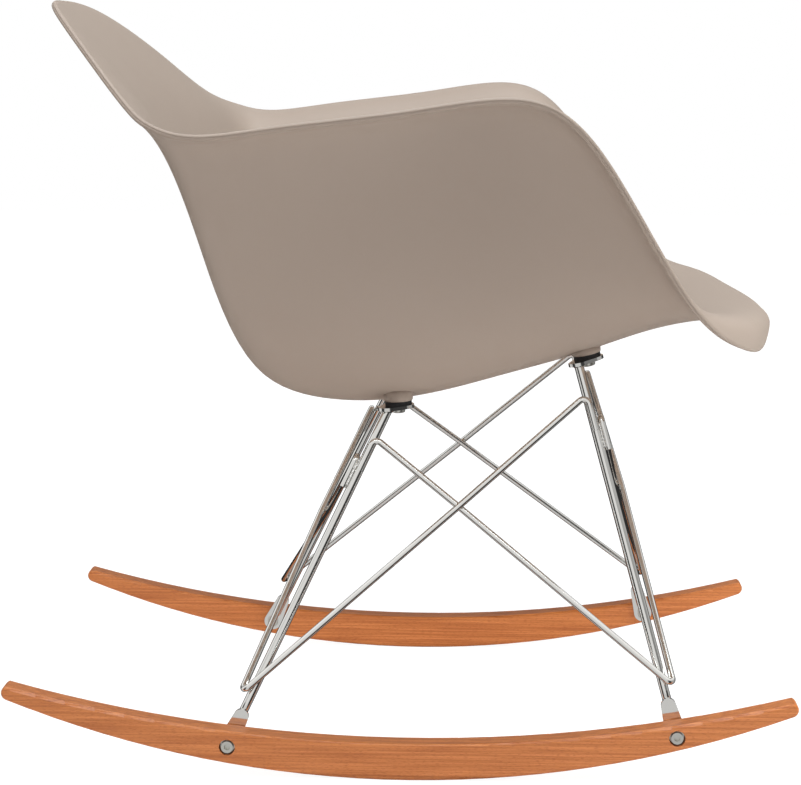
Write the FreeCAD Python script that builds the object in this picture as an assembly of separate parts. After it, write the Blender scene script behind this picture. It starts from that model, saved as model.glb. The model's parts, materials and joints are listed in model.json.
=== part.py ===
import FreeCAD, Part
import math
import os

# Moulded plastic rocking chair: a one-piece bucket shell on a welded wire base with two wooden rockers.
# Millimetres. +X is the front of the chair, +Y the sitter's left, +Z up.
# The origin is on the floor, in the middle plane, at the middle of the rockers' length.

V = FreeCAD.Vector
LEFT = V(0, 1, 0)

# Rockers
ROCKER_LENGTH = 690.0
ROCKER_THICKNESS = 21.0
ROCKER_OUTER_SPREAD = 441.0
ROCKER_DEPTH = 33.0
ROCKER_BOTTOM_RADIUS = 934.0
ROCKER_TOP_RADIUS = 1345.0
ROCKER_FORWARD_TILT = 0.42
ROCKER_END_BULGE = 4.5
ROCKER_EDGE_ROUND = 2.5

# Rocker bolts, at the middle of the rocker's depth
REAR_BOLT_X = -147.5
ROCKER_BOLT_PITCH = 389.5
BOLT_DIAMETER = 6.0
BOLT_HOLE_PLAY = 0.4
CAP_HEAD_DIAMETER = 10.5
CAP_HEAD_HEIGHT = 6.0
HEX_SOCKET_WIDTH = 5.0
HEX_SOCKET_DEPTH = 3.0
COUNTERBORE_DIAMETER = 14.0
COUNTERBORE_DEPTH = 8.0
BOLT_END_PAST_NUT = 1.5
WASHER_DIAMETER = 13.0
WASHER_THICKNESS = 1.2
NUT_WIDTH = 10.0
NUT_HEIGHT = 5.0

# Seat mounts: where the base meets the shell
REAR_MOUNT_X = -3.5
MOUNT_PITCH_LENGTHWISE = 168.0
MOUNT_PITCH_ACROSS = 218.0
REAR_MOUNT_HEIGHT = 312.8
FRONT_MOUNT_HEIGHT = 356.5
REAR_MOUNT_SLOPE = 3.0
FRONT_MOUNT_SLOPE = 13.0
TAB_THICKNESS = 3.0
TAB_HOLE_RADIUS = 14.0
TAB_LEG_RADIUS = 9.0
LEG_TOP_BEHIND_HOLE = 9.0
LEG_TOP_OUTSIDE_HOLE = 12.0
SHOCK_MOUNT_DIAMETER = 24.0
SHOCK_MOUNT_THICKNESS = 3.5
BOSS_DIAMETER = 26.0
INSERT_DIAMETER = 9.0
INSERT_LENGTH = 6.5
PAN_HEAD_DIAMETER = 11.5
PAN_HEAD_HEIGHT = 3.3
PAN_HEAD_ROUND = 1.5
PAN_SOCKET_WIDTH = 4.0
PAN_SOCKET_DEPTH = 1.8
SEAT_BOLT_TIP_CLEARANCE = 1.0

# Legs and foot plates
LEG_DIAMETER = 8.0
LEG_FOOT_START = 11.0
LEG_FOOT_BEND = 33.0
LEG_BEND_RADIUS = 20.0
FOOT_PLATE_THICKNESS = 3.0
FOOT_PLATE_BOLT_RADIUS = 9.0
FOOT_PLATE_TIP_RADIUS = 6.5
FOOT_PLATE_REACH = 24.0
FOOT_PLATE_SKIRT = 8.0

# Brace wires
WIRE_DIAMETER = 5.8
WIRE_FOOT_HEIGHT = 36.0
WIRE_SIDE_HOOK_DROP = 28.0
WIRE_CROSS_HOOK_DROP = 47.0
WIRE_TAIL = 32.0
WIRE_BEND_RADIUS = 4.5
WIRE_HOOK_RADIUS = 5.0
WIRE_KINK_RADIUS = 250.0
WELD_GAP = 0.15

# Weld beads
TAIL_BEAD_RADIUS = 2.5
TAIL_BEAD_END = 4.0
TAB_BEAD_WIDTH = 2.2
FOOT_BEAD_RADIUS = 3.6
BEAD_CLEARANCE = 0.3

# Shell: the wall, and the ribs that shape one half of it. Each rib is six control points, from the
# centre line out to the rim. The first is the front lip and the last the top of the back. The two
# seats are where the rear and the front mounts lie in this drawing (x, z); they are laid on the mounts.
SHELL_WALL = 5.5
SHELL_SEATS = ((-3.5, 312.8), (164.5, 356.5))
SHELL_GRID = 41
SHELL_GRID_CROWDING = 0.9
SHELL_TIP_ANGLE = 0.03
SHELL_RIBS = (
    ((330, 0, 379),) * 6,
    ((326, 0, 386), (326, 30, 387), (325, 62, 387), (324, 74, 386), (324, 78, 382), (322, 79, 377)),
    ((303, 0, 393), (303, 60, 393), (305, 120, 395), (309, 150, 396), (310, 161, 391), (306, 164, 375)),
    ((266, 0, 392), (268, 80, 392), (273, 160, 396), (283, 203, 407), (286, 216, 405), (282, 222, 385)),
    ((222, 0, 380), (222, 90, 380), (224, 195, 380), (226, 226, 414), (233, 240, 433), (237, 262, 423)),
    ((160, 0, 354), (160, 90, 354), (160, 210, 351), (161, 233, 436), (162, 246, 538), (161, 302, 543)),
    ((90, 0, 332), (90, 90, 332), (90, 225, 325), (92, 232, 470), (95, 252, 584), (95, 310, 585)),
    ((15, 0, 312), (15, 85, 312), (14, 220, 305), (12, 228, 450), (8, 252, 575), (8, 310, 575)),
    ((-60, 0, 306), (-62, 80, 306), (-68, 206, 304), (-76, 225, 440), (-86, 254, 563), (-88, 310, 563)),
    ((-121, 0, 323), (-123, 75, 324), (-133, 190, 336), (-147, 222, 440), (-153, 252, 552), (-152, 310, 555)),
    ((-155, 0, 384), (-156, 75, 386), (-160, 165, 400), (-174, 205, 468), (-182, 240, 547), (-191, 300, 561)),
    ((-184, 0, 465), (-184, 75, 467), (-185, 140, 478), (-192, 178, 532), (-204, 203, 560), (-219, 257, 575)),
    ((-231, 0, 560), (-231, 60, 561), (-228, 110, 562), (-232, 142, 582), (-246, 158, 600), (-258, 200, 612)),
    ((-285, 0, 628), (-285, 40, 628), (-283, 78, 628), (-284, 98, 633), (-292, 106, 643), (-300, 122, 651)),
    ((-322, 0, 665),) * 6,
)

ENDS = ("rear", "front")
SIDES = (("right", -1), ("left", 1))

ROCKER_INNER_FACE = ROCKER_OUTER_SPREAD / 2 - ROCKER_THICKNESS
ROCKER_TILT_RADIANS = math.radians(ROCKER_FORWARD_TILT)
LEG_RADIUS = LEG_DIAMETER / 2
WIRE_RADIUS = WIRE_DIAMETER / 2
CUT_PAST = 1.0
ROD_TO_WIRE = LEG_RADIUS + WIRE_RADIUS + WELD_GAP
FOOT_ROD_Y = ROCKER_INNER_FACE - FOOT_PLATE_THICKNESS - LEG_RADIUS


def corner(end, side):
    return end + ("_right" if side < 0 else "_left")


def corners():
    return [(end, side) for end in ENDS for name, side in SIDES]


def unit(vector):
    length = vector.Length
    return V(vector.x / length, vector.y / length, vector.z / length)


def cylinder(start, direction, radius, length):
    return Part.makeCylinder(radius, length, start, direction)


def hexagon_prism(start, direction, width, length):
    """A hexagonal prism whose flats are width apart."""
    across = unit(direction.cross(V(1, 0, 0)))
    corner = across * (width / math.sqrt(3))
    points = []
    for turn in range(6):
        turned = FreeCAD.Rotation(direction, 60 * turn).multVec(corner)
        points.append(start + turned)
    face = Part.Face(Part.makePolygon(points + [points[0]]))
    return face.extrude(unit(direction) * length)


def rounded_path(points, radii):
    """Straight runs through the points, with an arc of the given radius at each inner point."""
    edges = []
    start = points[0]
    for before, corner, after, radius in zip(points, points[1:], points[2:], radii):
        back = unit(before - corner)
        ahead = unit(after - corner)
        half = back.getAngle(ahead) / 2
        reach = radius / math.tan(half)
        bisector = unit(back + ahead)
        middle = corner + bisector * (radius / math.sin(half) - radius)
        arc_start = corner + back * reach
        arc_end = corner + ahead * reach
        edges.append(Part.LineSegment(start, arc_start).toShape())
        edges.append(Part.Arc(arc_start, middle, arc_end).toShape())
        start = arc_end
    edges.append(Part.LineSegment(start, points[-1]).toShape())
    return Part.Wire(edges)


def rod(points, radii, radius):
    """A round rod bent along the points."""
    path = rounded_path(points, radii)
    section = Part.Wire(Part.makeCircle(radius, points[0], points[1] - points[0]))
    return path.makePipeShell([section], True, False)


def disc_hull(centre_a, radius_a, centre_b, radius_b, normal, thickness):
    """A flat plate round two discs and the straight sides between them, on one side of its face."""
    along = unit(centre_b - centre_a)
    distance = (centre_b - centre_a).Length
    across = unit(normal.cross(along))
    lean = math.asin((radius_a - radius_b) / distance)
    side_a = along * math.sin(lean) + across * math.cos(lean)
    side_b = along * math.sin(lean) - across * math.cos(lean)
    corners = [centre_a + side_a * radius_a, centre_b + side_a * radius_b,
               centre_b + side_b * radius_b, centre_a + side_b * radius_a]
    tip = centre_b + along * radius_b
    heel = centre_a - along * radius_a
    outline = Part.Wire([
        Part.LineSegment(corners[0], corners[1]).toShape(),
        Part.Arc(corners[1], tip, corners[2]).toShape(),
        Part.LineSegment(corners[2], corners[3]).toShape(),
        Part.Arc(corners[3], heel, corners[0]).toShape(),
    ])
    return Part.Face(outline).extrude(unit(normal) * thickness)


# Rockers

def rocker_bottom_height(x):
    centre_x = ROCKER_BOTTOM_RADIUS * math.sin(ROCKER_TILT_RADIANS)
    return ROCKER_BOTTOM_RADIUS - math.sqrt(ROCKER_BOTTOM_RADIUS ** 2 - (x - centre_x) ** 2)


def rocker_top_height(x):
    reach = ROCKER_DEPTH + ROCKER_TOP_RADIUS
    centre_x = reach * math.sin(ROCKER_TILT_RADIANS)
    lift = ROCKER_BOTTOM_RADIUS * (1 - math.cos(ROCKER_TILT_RADIANS))
    centre_z = reach * math.cos(ROCKER_TILT_RADIANS) + lift
    return centre_z - math.sqrt(ROCKER_TOP_RADIUS ** 2 - (x - centre_x) ** 2)


def bolt_point(end):
    """Where the rocker bolt's axis crosses the middle plane."""
    x = REAR_BOLT_X if end == "rear" else REAR_BOLT_X + ROCKER_BOLT_PITCH
    return V(x, 0, (rocker_bottom_height(x) + rocker_top_height(x)) / 2)


def on_arc(radius, lowest, x):
    """A point at x on an upward-opening arc whose lowest point is at height lowest."""
    return V(x, 0, lowest + radius - math.sqrt(radius ** 2 - x ** 2))


def rocker_outline():
    half = ROCKER_LENGTH / 2 - ROCKER_END_BULGE
    low_left = on_arc(ROCKER_BOTTOM_RADIUS, 0, -half)
    low_right = on_arc(ROCKER_BOTTOM_RADIUS, 0, half)
    high_left = on_arc(ROCKER_TOP_RADIUS, ROCKER_DEPTH, -half)
    high_right = on_arc(ROCKER_TOP_RADIUS, ROCKER_DEPTH, half)
    bulge = V(ROCKER_END_BULGE, 0, 0)
    return Part.Wire([
        Part.Arc(low_left, V(0, 0, 0), low_right).toShape(),
        Part.Arc(low_right, (low_right + high_right) * 0.5 + bulge, high_right).toShape(),
        Part.Arc(high_right, V(0, 0, ROCKER_DEPTH), high_left).toShape(),
        Part.Arc(high_left, (low_left + high_left) * 0.5 - bulge, low_left).toShape(),
    ])


def rocker(side):
    outline = rocker_outline()
    blank = Part.Face(outline).extrude(LEFT * ROCKER_THICKNESS)
    blank.translate(LEFT * (-ROCKER_THICKNESS / 2))
    rims = []
    for edge in blank.Edges:
        across = abs(edge.Vertexes[0].Y - edge.Vertexes[-1].Y)
        if across < ROCKER_THICKNESS / 2:
            rims.append(edge)
    blank = blank.makeFillet(ROCKER_EDGE_ROUND, rims)
    blank.rotate(V(0, 0, 0), LEFT, ROCKER_FORWARD_TILT)
    lift = ROCKER_BOTTOM_RADIUS * (1 - math.cos(ROCKER_TILT_RADIANS))
    middle = ROCKER_OUTER_SPREAD / 2 - ROCKER_THICKNESS / 2
    blank.translate(V(0, side * middle, lift))
    outward = V(0, side, 0)
    for end in ENDS:
        inner = bolt_point(end) + outward * ROCKER_INNER_FACE
        outer = bolt_point(end) + outward * (ROCKER_OUTER_SPREAD / 2)
        hole = cylinder(inner - outward * CUT_PAST, outward, BOLT_DIAMETER / 2 + BOLT_HOLE_PLAY,
                        ROCKER_THICKNESS + 2 * CUT_PAST)
        bore = cylinder(outer - outward * COUNTERBORE_DEPTH, outward, COUNTERBORE_DIAMETER / 2,
                        COUNTERBORE_DEPTH + CUT_PAST)
        blank = blank.cut(hole).cut(bore)
    return blank


def counterbore_floor(end, side):
    return bolt_point(end) + V(0, side * (ROCKER_OUTER_SPREAD / 2 - COUNTERBORE_DEPTH), 0)


def rocker_bolt(end, side):
    outward = V(0, side, 0)
    seat = counterbore_floor(end, side) + outward * WASHER_THICKNESS
    clamped = ROCKER_THICKNESS - COUNTERBORE_DEPTH + WASHER_THICKNESS + FOOT_PLATE_THICKNESS
    reach = clamped + NUT_HEIGHT + BOLT_END_PAST_NUT
    head = cylinder(seat, outward, CAP_HEAD_DIAMETER / 2, CAP_HEAD_HEIGHT)
    socket = hexagon_prism(seat + outward * (CAP_HEAD_HEIGHT - HEX_SOCKET_DEPTH), outward,
                           HEX_SOCKET_WIDTH, HEX_SOCKET_DEPTH + CUT_PAST)
    shank = cylinder(seat, outward * -1, BOLT_DIAMETER / 2, reach)
    return head.cut(socket).fuse(shank).removeSplitter()


def rocker_washer(end, side):
    outward = V(0, side, 0)
    floor = counterbore_floor(end, side)
    disc = cylinder(floor, outward, WASHER_DIAMETER / 2, WASHER_THICKNESS)
    return disc.cut(cylinder(floor, outward, BOLT_DIAMETER / 2, WASHER_THICKNESS))


def rocker_nut(end, side):
    inward = V(0, -side, 0)
    seat = bolt_point(end) + V(0, side * (ROCKER_INNER_FACE - FOOT_PLATE_THICKNESS), 0)
    nut = hexagon_prism(seat, inward, NUT_WIDTH, NUT_HEIGHT)
    return nut.cut(cylinder(seat, inward, BOLT_DIAMETER / 2, NUT_HEIGHT))


# Seat mounts: a frame of axes at each of the four, with its origin on the tab's upper face

class Mount:
    """Origin at the hole, on the tab's upper face; forward and outward lie in that face."""

    def __init__(self, end, side):
        slope = math.radians(REAR_MOUNT_SLOPE if end == "rear" else FRONT_MOUNT_SLOPE)
        x = REAR_MOUNT_X if end == "rear" else REAR_MOUNT_X + MOUNT_PITCH_LENGTHWISE
        z = REAR_MOUNT_HEIGHT if end == "rear" else FRONT_MOUNT_HEIGHT
        self.hole = V(x, side * MOUNT_PITCH_ACROSS / 2, z)
        self.forward = V(math.cos(slope), 0, math.sin(slope))
        self.outward = V(0, side, 0)
        self.normal = V(-math.sin(slope), 0, math.cos(slope))

    def point(self, forward, outward, height):
        return self.hole + self.forward * forward + self.outward * outward + self.normal * height

    def leg_top(self):
        return self.point(-LEG_TOP_BEHIND_HOLE, LEG_TOP_OUTSIDE_HOLE, -TAB_THICKNESS)


def mount_tab(end, side):
    mount = Mount(end, side)
    under = mount.point(0, 0, -TAB_THICKNESS)
    plate = disc_hull(under, TAB_HOLE_RADIUS, mount.leg_top(), TAB_LEG_RADIUS, mount.normal, TAB_THICKNESS)
    return plate.cut(cylinder(under, mount.normal, BOLT_DIAMETER / 2 + BOLT_HOLE_PLAY, TAB_THICKNESS))


def shock_mount(end, side):
    mount = Mount(end, side)
    disc = cylinder(mount.hole, mount.normal, SHOCK_MOUNT_DIAMETER / 2, SHOCK_MOUNT_THICKNESS)
    hole = cylinder(mount.hole, mount.normal, BOLT_DIAMETER / 2 + BOLT_HOLE_PLAY, SHOCK_MOUNT_THICKNESS)
    return disc.cut(hole)


def seat_insert(end, side):
    mount = Mount(end, side)
    seat = mount.point(0, 0, SHOCK_MOUNT_THICKNESS)
    body = cylinder(seat, mount.normal, INSERT_DIAMETER / 2, INSERT_LENGTH)
    return body.cut(cylinder(seat, mount.normal, BOLT_DIAMETER / 2, INSERT_LENGTH))


def seat_washer(end, side):
    mount = Mount(end, side)
    under = mount.point(0, 0, -TAB_THICKNESS)
    down = mount.normal * -1
    disc = cylinder(under, down, WASHER_DIAMETER / 2, WASHER_THICKNESS)
    return disc.cut(cylinder(under, down, BOLT_DIAMETER / 2, WASHER_THICKNESS))


def seat_bolt(end, side):
    mount = Mount(end, side)
    seat = mount.point(0, 0, -TAB_THICKNESS - WASHER_THICKNESS)
    down = mount.normal * -1
    head = cylinder(seat, down, PAN_HEAD_DIAMETER / 2, PAN_HEAD_HEIGHT)
    rim = max(head.Edges, key=lambda edge: (edge.CenterOfMass - seat).dot(down))
    head = head.makeFillet(PAN_HEAD_ROUND, [rim])
    socket = hexagon_prism(seat + down * (PAN_HEAD_HEIGHT - PAN_SOCKET_DEPTH), down,
                           PAN_SOCKET_WIDTH, PAN_SOCKET_DEPTH + CUT_PAST)
    clamped = WASHER_THICKNESS + TAB_THICKNESS + SHOCK_MOUNT_THICKNESS
    reach = clamped + INSERT_LENGTH - SEAT_BOLT_TIP_CLEARANCE
    shank = cylinder(seat, mount.normal, BOLT_DIAMETER / 2, reach)
    return head.cut(socket).fuse(shank).removeSplitter()


# Legs

class Leg:
    """The line of one leg: a foot parallel to the rocker's face, then straight to the tab."""

    def __init__(self, end, side):
        self.mount = Mount(end, side)
        bolt = bolt_point(end) + V(0, side * FOOT_ROD_Y, 0)
        top = self.mount.leg_top()
        rise = unit(V(top.x - bolt.x, 0, top.z - bolt.z))
        self.bolt = bolt
        self.rise = rise
        self.foot = bolt + rise * LEG_FOOT_START
        self.bend = bolt + rise * LEG_FOOT_BEND
        self.top = top
        self.axis = unit(top - self.bend)
        outward = V(0, side, 0)
        self.out = unit(outward - self.axis * outward.dot(self.axis))
        away = V(-1, 0, 0) if end == "rear" else V(1, 0, 0)
        self.away = unit(away - self.axis * away.dot(self.axis) - self.out * away.dot(self.out))

    def at_height(self, z):
        return self.bend + self.axis * ((z - self.bend.z) / self.axis.z)

    def below_top(self, drop):
        return self.top - self.axis * drop


def leg(end, side, margin=0.0):
    """One leg; a margin makes it thicker, to cut its seat in a weld bead."""
    line = Leg(end, side)
    beyond = line.top + line.axis * LEG_DIAMETER
    bar = rod([line.foot, line.bend, beyond], [LEG_BEND_RADIUS], LEG_RADIUS + margin)
    mount = line.mount
    under = mount.point(0, 0, -TAB_THICKNESS)
    trim = cylinder(under, mount.normal, MOUNT_PITCH_ACROSS / 4, MOUNT_PITCH_ACROSS / 4)
    return bar.cut(trim)


def foot_plate(end, side):
    line = Leg(end, side)
    outward = V(0, side, 0)
    inner = V(line.bolt.x, side * (ROCKER_INNER_FACE - FOOT_PLATE_THICKNESS), line.bolt.z)
    tip = inner + line.rise * FOOT_PLATE_REACH
    plate = disc_hull(inner, FOOT_PLATE_BOLT_RADIUS, tip, FOOT_PLATE_TIP_RADIUS, outward,
                      FOOT_PLATE_THICKNESS)
    below = inner - line.rise * FOOT_PLATE_SKIRT
    plate = plate.cut(cylinder(below, line.rise * -1, FOOT_PLATE_REACH, FOOT_PLATE_REACH))
    return plate.cut(cylinder(inner, outward, BOLT_DIAMETER / 2 + BOLT_HOLE_PLAY, FOOT_PLATE_THICKNESS))


# Brace wires

def other_end(end):
    return "front" if end == "rear" else "rear"


def hook_point(end, side, across):
    """The corner of a hook at the top of a leg: across at its lateral side, else at its outer side."""
    line = Leg(end, side)
    drop = WIRE_CROSS_HOOK_DROP if across else WIRE_SIDE_HOOK_DROP
    offset = line.away if across else line.out
    return line.below_top(drop) + offset * ROD_TO_WIRE


def wire_foot(end, side):
    """The corner of the V, outside the leg's foot, so that its bend just clears the leg."""
    line = Leg(end, side)
    axis_point = line.at_height(line.bolt.z + WIRE_FOOT_HEIGHT)
    to_side = unit(hook_point(other_end(end), side, False) - axis_point)
    to_cross = unit(hook_point(end, -side, True) - axis_point)
    half = to_side.getAngle(to_cross) / 2
    reach = ROD_TO_WIRE + WIRE_BEND_RADIUS * (1 / math.sin(half) - 1)
    return axis_point + unit(line.out + line.away) * reach


def nearest_points(a, b, c, d):
    """The points of the lines a-b and c-d that are nearest to each other."""
    u = b - a
    w = d - c
    r = a - c
    uu = u.dot(u)
    uw = u.dot(w)
    ww = w.dot(w)
    base = uu * ww - uw * uw
    s = (uw * w.dot(r) - ww * u.dot(r)) / base
    t = (uu * w.dot(r) - uw * u.dot(r)) / base
    return a + u * s, c + w * t


def crossing(end, side, across):
    """Where two limbs cross: the middle of the crossing, on one side or at one end of the base."""
    if across:
        limb_a = (wire_foot(end, -1), hook_point(end, 1, True))
        limb_b = (wire_foot(end, 1), hook_point(end, -1, True))
    else:
        limb_a = (wire_foot("rear", side), hook_point("front", side, False))
        limb_b = (wire_foot("front", side), hook_point("rear", side, False))
    near, far = nearest_points(limb_a[0], limb_a[1], limb_b[0], limb_b[1])
    return (near + far) * 0.5


def brace_wire(end, side, margin=0.0):
    """One V-shaped wire: hooked tail, long limb, bend at the foot, long limb, hooked tail."""
    foot = wire_foot(end, side)
    side_leg = Leg(other_end(end), side)
    cross_leg = Leg(end, -side)
    side_hook = hook_point(other_end(end), side, False)
    cross_hook = hook_point(end, -side, True)
    spring = WIRE_RADIUS + WELD_GAP / 2
    outer = 1 if end == "rear" else -1
    side_kink = crossing(end, side, False) + V(0, side * outer * spring, 0)
    behind = 1 if side < 0 else -1
    away = V(-1, 0, 0) if end == "rear" else V(1, 0, 0)
    cross_kink = crossing(end, side, True) + away * (behind * spring)
    points = [side_hook - side_leg.axis * WIRE_TAIL, side_hook, side_kink, foot,
              cross_kink, cross_hook, cross_hook - cross_leg.axis * WIRE_TAIL]
    radii = [WIRE_HOOK_RADIUS, WIRE_KINK_RADIUS, WIRE_BEND_RADIUS, WIRE_KINK_RADIUS, WIRE_HOOK_RADIUS]
    return rod(points, radii, WIRE_RADIUS + margin)


# Weld beads, each cut to the pieces that it joins

def capsule(start, end, radius):
    run = cylinder(start, end - start, radius, (end - start).Length)
    return run.fuse([Part.makeSphere(radius, start), Part.makeSphere(radius, end)]).removeSplitter()


def tail_beads(end, side):
    """The beads on one leg, in the grooves along the tails of its neighbours' wires."""
    line = Leg(end, side)
    grown_leg = leg(end, side, BEAD_CLEARANCE)
    side_wire = brace_wire(other_end(end), side, BEAD_CLEARANCE)
    cross_wire = brace_wire(end, -side, BEAD_CLEARANCE)
    beads = []
    for drop, offset, wire in ((WIRE_SIDE_HOOK_DROP, line.out, side_wire),
                               (WIRE_CROSS_HOOK_DROP, line.away, cross_wire)):
        contact = offset * (LEG_RADIUS + WELD_GAP / 2)
        start = line.below_top(drop + WIRE_HOOK_RADIUS + TAIL_BEAD_END) + contact
        finish = line.below_top(drop + WIRE_TAIL - TAIL_BEAD_END) + contact
        beads += capsule(start, finish, TAIL_BEAD_RADIUS).cut([grown_leg, wire]).Solids
    return beads


def tab_bead(end, side):
    """A ring where the leg meets the underside of its tab."""
    line = Leg(end, side)
    foot = line.top - line.mount.normal * TAB_BEAD_WIDTH
    ring = Part.makeCone(LEG_RADIUS, LEG_RADIUS + TAB_BEAD_WIDTH, TAB_BEAD_WIDTH, foot, line.mount.normal)
    return largest(ring.cut(leg(end, side, BEAD_CLEARANCE)))


def foot_bead(end, side):
    """A blob where the leg's end meets the foot plate."""
    line = Leg(end, side)
    outward = V(0, side, 0)
    blob = Part.makeSphere(FOOT_BEAD_RADIUS, line.foot - line.rise * CUT_PAST + outward * (LEG_RADIUS / 2))
    face = line.foot + outward * (LEG_RADIUS - BEAD_CLEARANCE)
    beyond_face = cylinder(face, outward, FOOT_PLATE_REACH, FOOT_PLATE_REACH)
    return largest(blob.cut([leg(end, side, BEAD_CLEARANCE), beyond_face]))


def largest(shape):
    """The largest solid that a cut has left."""
    return max(shape.Solids, key=lambda solid: solid.Volume)


# Shell

def shell_rails():
    """Six closed curves round the shell, one through each row of the ribs' control points."""
    ribs = [[V(*point) for point in rib] for rib in SHELL_RIBS]
    travelled = [0.0]
    for before, after in zip(ribs, ribs[1:]):
        travelled.append(travelled[-1] + (after[0] - before[0]).Length)
    angles = [math.acos(1 - 2 * length / travelled[-1]) for length in travelled]
    for angle, rib in list(zip(angles, ribs))[-2:0:-1]:
        angles.append(2 * math.pi - angle)
        ribs.append([V(point.x, -point.y, point.z) for point in rib])
    angles.append(2 * math.pi)
    rails = []
    for index in range(6):
        curve = Part.BSplineCurve()
        curve.interpolate(Points=[rib[index] for rib in ribs], PeriodicFlag=True, Parameters=angles)
        rails.append(curve)
    return rails


def bezier(points, share):
    """The point at a share of the way along a curve with these control points, and its direction."""
    while len(points) > 2:
        points = [a + (b - a) * share for a, b in zip(points, points[1:])]
    return points[0] + (points[1] - points[0]) * share, points[1] - points[0]


def shell_point(rails, lengthwise, across):
    """A point of the outer skin and the normal into the seat; lengthwise and across are in a unit disc."""
    angle = math.acos(max(-1.0, min(1.0, -lengthwise)))
    steady = max(SHELL_TIP_ANGLE, min(math.pi - SHELL_TIP_ANGLE, angle))
    share = min(1.0, abs(across) / math.sin(steady))
    point = bezier([rail.value(angle) for rail in rails], share)[0]
    sideways = bezier([rail.value(steady) for rail in rails], share)[1]
    backwards = bezier([rail.getD1(steady)[1] for rail in rails], share)[0]
    normal = unit(sideways.cross(backwards))
    if across < 0:
        return V(point.x, -point.y, point.z), V(normal.x, -normal.y, normal.z)
    return point, normal


def disc_grid(count):
    """A square grid, closer together at its edges, squeezed onto a unit disc."""
    reach = SHELL_GRID_CROWDING * math.pi / 2
    lines = [math.sin(reach * (2 * i / (count - 1) - 1)) / math.sin(reach) for i in range(count)]
    return [[(p * math.sqrt(1 - q * q / 2), q * math.sqrt(1 - p * p / 2)) for q in lines] for p in lines]


def shell_skins():
    """Grids of points on the outer and the inner skin."""
    rails = shell_rails()
    outer = []
    inner = []
    for row in disc_grid(SHELL_GRID):
        places = [shell_point(rails, lengthwise, across) for lengthwise, across in row]
        outer.append([point for point, normal in places])
        inner.append([point + normal * SHELL_WALL for point, normal in places])
    return outer, inner


def shell_blank():
    outer_grid, inner_grid = shell_skins()
    outer = Part.BSplineSurface()
    outer.interpolate(outer_grid)
    inner = Part.BSplineSurface()
    inner.interpolate(inner_grid)
    faces = [outer.toShape(), inner.toShape()]
    u0, u1, v0, v1 = outer.bounds()
    s0, s1, t0, t1 = inner.bounds()
    for a, b in ((outer.uIso(u0), inner.uIso(s0)), (outer.uIso(u1), inner.uIso(s1)),
                 (outer.vIso(v0), inner.vIso(t0)), (outer.vIso(v1), inner.vIso(t1))):
        faces.append(Part.makeRuledSurface(a.toShape(), b.toShape()))
    skin = Part.makeShell(faces)
    skin.sewShape()
    solid = Part.makeSolid(skin)
    if solid.Volume < 0:
        solid.reverse()
    return on_its_mounts(solid)


def on_its_mounts(solid):
    """The shell moved and tilted from where it is drawn to where its mounts are."""
    rear, front = [V(x, 0, z) for x, z in SHELL_SEATS]
    place = V(REAR_MOUNT_X, 0, REAR_MOUNT_HEIGHT)
    drawn = math.atan2(front.z - rear.z, front.x - rear.x)
    real = math.atan2(FRONT_MOUNT_HEIGHT - REAR_MOUNT_HEIGHT, MOUNT_PITCH_LENGTHWISE)
    solid.translate(place - rear)
    solid.rotate(place, LEFT, math.degrees(drawn - real))
    return solid


def boss(shell, mount):
    """A round boss from the shock mount up to the shell's outer skin."""
    foot = mount.point(0, 0, SHOCK_MOUNT_THICKNESS)
    post = cylinder(foot, mount.normal, BOSS_DIAMETER / 2, BOSS_DIAMETER)
    pieces = post.cut(shell).Solids
    return min(pieces, key=lambda piece: (piece.CenterOfMass - foot).Length)


def seat_shell():
    blank = shell_blank()
    mounts = [Mount(end, side) for end, side in corners()]
    solid = blank.fuse([boss(blank, mount) for mount in mounts])
    for mount in mounts:
        foot = mount.point(0, 0, SHOCK_MOUNT_THICKNESS)
        solid = solid.cut(cylinder(foot, mount.normal, INSERT_DIAMETER / 2, INSERT_LENGTH))
    return solid


# The nodes

def group(make):
    """Four like pieces, one at each corner, in one node."""
    return Part.makeCompound([make(end, side) for end, side in corners()])


def build_nodes():
    nodes = {"seat_shell": seat_shell()}
    for end, side in corners():
        name = corner(end, side)
        nodes["shock_mount_" + name] = shock_mount(end, side)
        nodes["mount_tab_" + name] = mount_tab(end, side)
        nodes["leg_" + name] = leg(end, side)
        nodes["foot_plate_" + name] = foot_plate(end, side)
        nodes["brace_wire_" + name] = brace_wire(end, side)
    for name, side in SIDES:
        nodes["rocker_" + name] = rocker(side)
    nodes["seat_inserts"] = group(seat_insert)
    nodes["seat_washers"] = group(seat_washer)
    nodes["seat_bolts"] = group(seat_bolt)
    nodes["rocker_bolts"] = group(rocker_bolt)
    nodes["rocker_washers"] = group(rocker_washer)
    nodes["rocker_nuts"] = group(rocker_nut)
    tails = [bead for end, side in corners() for bead in tail_beads(end, side)]
    nodes["weld_beads_tails"] = Part.makeCompound(tails)
    nodes["weld_beads_tabs"] = group(tab_bead)
    nodes["weld_beads_feet"] = group(foot_bead)
    return nodes


os.makedirs("parts", exist_ok=True)
for node_name, shape in build_nodes().items():
    shape.exportStep("parts/" + node_name + ".step")
    print(node_name, "solids", len(shape.Solids), "valid", shape.isValid(),
          "volume cm3", round(shape.Volume / 1000, 2))
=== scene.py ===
import json
import math

import bmesh
import bpy
import numpy as np
from mathutils import Matrix, Vector
from mathutils.bvhtree import BVHTree


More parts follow.
